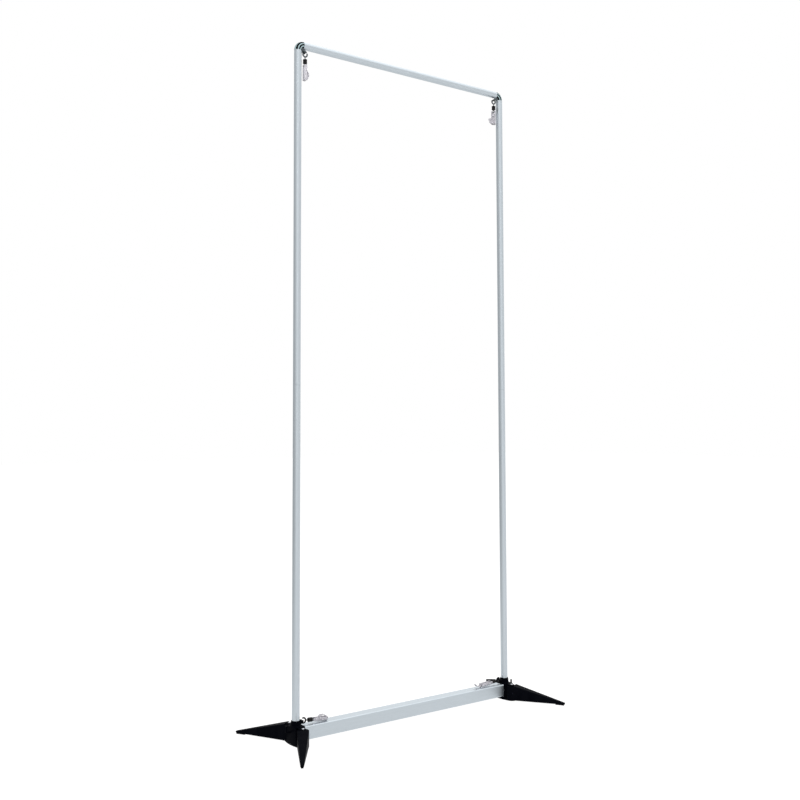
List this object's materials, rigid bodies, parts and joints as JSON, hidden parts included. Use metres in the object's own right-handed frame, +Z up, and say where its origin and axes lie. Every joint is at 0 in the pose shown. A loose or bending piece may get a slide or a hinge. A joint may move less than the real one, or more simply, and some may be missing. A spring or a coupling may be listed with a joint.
{
  "type": "banner display frame",
  "caption": "Free-standing tube frame on folding-leg feet, with a swivelling lever clip at each corner to hold a banner stretched.",
  "frame": {"origin": "on the floor, midway between the two posts, at the bottom centre of the bounding box", "axes": "+Z up along the posts, +X along the bars from the left post to the right post, +Y away from the viewer's side, square to the banner's plane"},
  "size_m": [0.976, 0.3764, 2.019],
  "materials": {
    "anodised_tube": "satin anodised",
    "mill_aluminium": "mill",
    "elbow_plastic": "satin moulded",
    "black_plastic": "satin moulded",
    "rubber_pad": "matt",
    "zinc_pin": "bright zinc plate",
    "hook_steel": "grey plated wire",
    "black_steel": "blackened",
    "clear_plastic": "clear moulded"
  },
  "bodies": {
    "root": {"left_post_lower": "anodised_tube", "left_post_upper": "anodised_tube", "left_post_joiner": "mill_aluminium", "left_elbow": "elbow_plastic", "left_foot_hub": "black_plastic", "right_post_lower": "anodised_tube", "right_post_upper": "anodised_tube", "right_post_joiner": "mill_aluminium", "right_elbow": "elbow_plastic", "right_foot_hub": "black_plastic", "top_bar": "anodised_tube", "bottom_bar": "anodised_tube", "left_front_leg_hinge_pin": "zinc_pin", "left_rear_leg_hinge_pin": "zinc_pin", "right_front_leg_hinge_pin": "zinc_pin", "right_rear_leg_hinge_pin": "zinc_pin", "top_left_hook_pin": "black_steel", "top_right_hook_pin": "black_steel", "bottom_left_hook_pin": "black_steel", "bottom_right_hook_pin": "black_steel"},
    "left_front_leg_body": {"left_front_leg": "black_plastic", "left_front_leg_pad": "rubber_pad"},
    "left_rear_leg_body": {"left_rear_leg": "black_plastic", "left_rear_leg_pad": "rubber_pad"},
    "right_front_leg_body": {"right_front_leg": "black_plastic", "right_front_leg_pad": "rubber_pad"},
    "right_rear_leg_body": {"right_rear_leg": "black_plastic", "right_rear_leg_pad": "rubber_pad"},
    "top_left_hook_body": {"top_left_hook": "hook_steel"},
    "top_left_swivel": {"top_left_swivel_barrel": "black_steel", "top_left_swivel_eye": "hook_steel"},
    "top_left_clip": {"top_left_clip_body": "clear_plastic", "top_left_clip_pin": "hook_steel", "top_left_clip_rivet": "hook_steel", "top_left_lever_pin": "hook_steel"},
    "top_left_lever": {"top_left_clip_lever": "clear_plastic"},
    "top_right_hook_body": {"top_right_hook": "hook_steel"},
    "top_right_swivel": {"top_right_swivel_barrel": "black_steel", "top_right_swivel_eye": "hook_steel"},
    "top_right_clip": {"top_right_clip_body": "clear_plastic", "top_right_clip_pin": "hook_steel", "top_right_clip_rivet": "hook_steel", "top_right_lever_pin": "hook_steel"},
    "top_right_lever": {"top_right_clip_lever": "clear_plastic"},
    "bottom_left_hook_body": {"bottom_left_hook": "hook_steel"},
    "bottom_left_swivel": {"bottom_left_swivel_barrel": "black_steel", "bottom_left_swivel_eye": "hook_steel"},
    "bottom_left_clip": {"bottom_left_clip_body": "clear_plastic", "bottom_left_clip_pin": "hook_steel", "bottom_left_clip_rivet": "hook_steel", "bottom_left_lever_pin": "hook_steel"},
    "bottom_left_lever": {"bottom_left_clip_lever": "clear_plastic"},
    "bottom_right_hook_body": {"bottom_right_hook": "hook_steel"},
    "bottom_right_swivel": {"bottom_right_swivel_barrel": "black_steel", "bottom_right_swivel_eye": "hook_steel"},
    "bottom_right_clip": {"bottom_right_clip_body": "clear_plastic", "bottom_right_clip_pin": "hook_steel", "bottom_right_clip_rivet": "hook_steel", "bottom_right_lever_pin": "hook_steel"},
    "bottom_right_lever": {"bottom_right_clip_lever": "clear_plastic"}
  },
  "joints": [
    {"name": "left_front_leg_fold", "type": "hinge", "parent": "root", "child": "left_front_leg_body", "pos_m": [-0.39305, -0.03748, 0], "axis": [0, 0, 1], "range_deg": [0, 121.6]},
    {"name": "left_rear_leg_fold", "type": "hinge", "parent": "root", "child": "left_rear_leg_body", "pos_m": [-0.39305, 0.03748, 0], "axis": [0, 0, -1], "range_deg": [0, 121.6]},
    {"name": "right_front_leg_fold", "type": "hinge", "parent": "root", "child": "right_front_leg_body", "pos_m": [0.39305, -0.03748, 0], "axis": [0, 0, -1], "range_deg": [0, 121.6]},
    {"name": "right_rear_leg_fold", "type": "hinge", "parent": "root", "child": "right_rear_leg_body", "pos_m": [0.39305, 0.03748, 0], "axis": [0, 0, 1], "range_deg": [0, 121.6]},
    {"name": "top_left_hook_swing", "type": "hinge", "parent": "root", "child": "top_left_hook_body", "pos_m": [-0.3705, 0, 1.9886], "axis": [0, -1, 0], "range_deg": [0, 60]},
    {"name": "top_left_swivel_turn", "type": "hinge", "parent": "top_left_hook_body", "child": "top_left_swivel", "pos_m": [-0.3705, 0, 1.9886], "axis": [0, 0, 1], "continuous": true},
    {"name": "top_left_clip_tilt", "type": "hinge", "parent": "top_left_swivel", "child": "top_left_clip", "pos_m": [-0.3705, 0, 1.9478], "axis": [0, -1, 0], "range_deg": [-5, 40]},
    {"name": "top_left_lever_open", "type": "hinge", "parent": "top_left_clip", "child": "top_left_lever", "pos_m": [-0.3685, 0, 1.9083], "axis": [0, 1, 0], "range_deg": [0, 160]},
    {"name": "top_right_hook_swing", "type": "hinge", "parent": "root", "child": "top_right_hook_body", "pos_m": [0.3705, 0, 1.9886], "axis": [0, 1, 0], "range_deg": [0, 60]},
    {"name": "top_right_swivel_turn", "type": "hinge", "parent": "top_right_hook_body", "child": "top_right_swivel", "pos_m": [0.3705, 0, 1.9886], "axis": [0, 0, 1], "range_deg": [-80, 80]},
    {"name": "top_right_clip_tilt", "type": "hinge", "parent": "top_right_swivel", "child": "top_right_clip", "pos_m": [0.3705, 0, 1.9478], "axis": [-0.2588, 0.9659, 0], "range_deg": [-5, 40]},
    {"name": "top_right_lever_open", "type": "hinge", "parent": "top_right_clip", "child": "top_right_lever", "pos_m": [0.36857, -0.00052, 1.9083], "axis": [0.2588, -0.9659, 0], "range_deg": [-50, 110]},
    {"name": "bottom_left_hook_swing", "type": "hinge", "parent": "root", "child": "bottom_left_hook_body", "pos_m": [-0.3745, 0, 0.0605], "axis": [0, -1, 0], "range_deg": [0, 70]},
    {"name": "bottom_left_swivel_turn", "type": "hinge", "parent": "bottom_left_hook_body", "child": "bottom_left_swivel", "pos_m": [-0.3745, 0, 0.0605], "axis": [-0.998, 0, 0.0628], "range_deg": [-90, 90]},
    {"name": "bottom_left_clip_tilt", "type": "hinge", "parent": "bottom_left_swivel", "child": "bottom_left_clip", "pos_m": [-0.33378, 0, 0.05794], "axis": [0, -1, 0], "range_deg": [0, 60]},
    {"name": "bottom_left_lever_open", "type": "hinge", "parent": "bottom_left_clip", "child": "bottom_left_lever", "pos_m": [-0.29423, 0, 0.05745], "axis": [0, 1, 0], "range_deg": [0, 160]},
    {"name": "bottom_right_hook_swing", "type": "hinge", "parent": "root", "child": "bottom_right_hook_body", "pos_m": [0.3745, 0, 0.0605], "axis": [0, 1, 0], "range_deg": [0, 70]},
    {"name": "bottom_right_swivel_turn", "type": "hinge", "parent": "bottom_right_hook_body", "child": "bottom_right_swivel", "pos_m": [0.3745, 0, 0.0605], "axis": [0.998, 0, 0.0628], "range_deg": [-90, 90]},
    {"name": "bottom_right_clip_tilt", "type": "hinge", "parent": "bottom_right_swivel", "child": "bottom_right_clip", "pos_m": [0.33378, 0, 0.05794], "axis": [0, 1, 0], "range_deg": [0, 60]},
    {"name": "bottom_right_lever_open", "type": "hinge", "parent": "bottom_right_clip", "child": "bottom_right_lever", "pos_m": [0.29423, 0, 0.05745], "axis": [0, -1, 0], "range_deg": [-160, 0]}
  ]
}
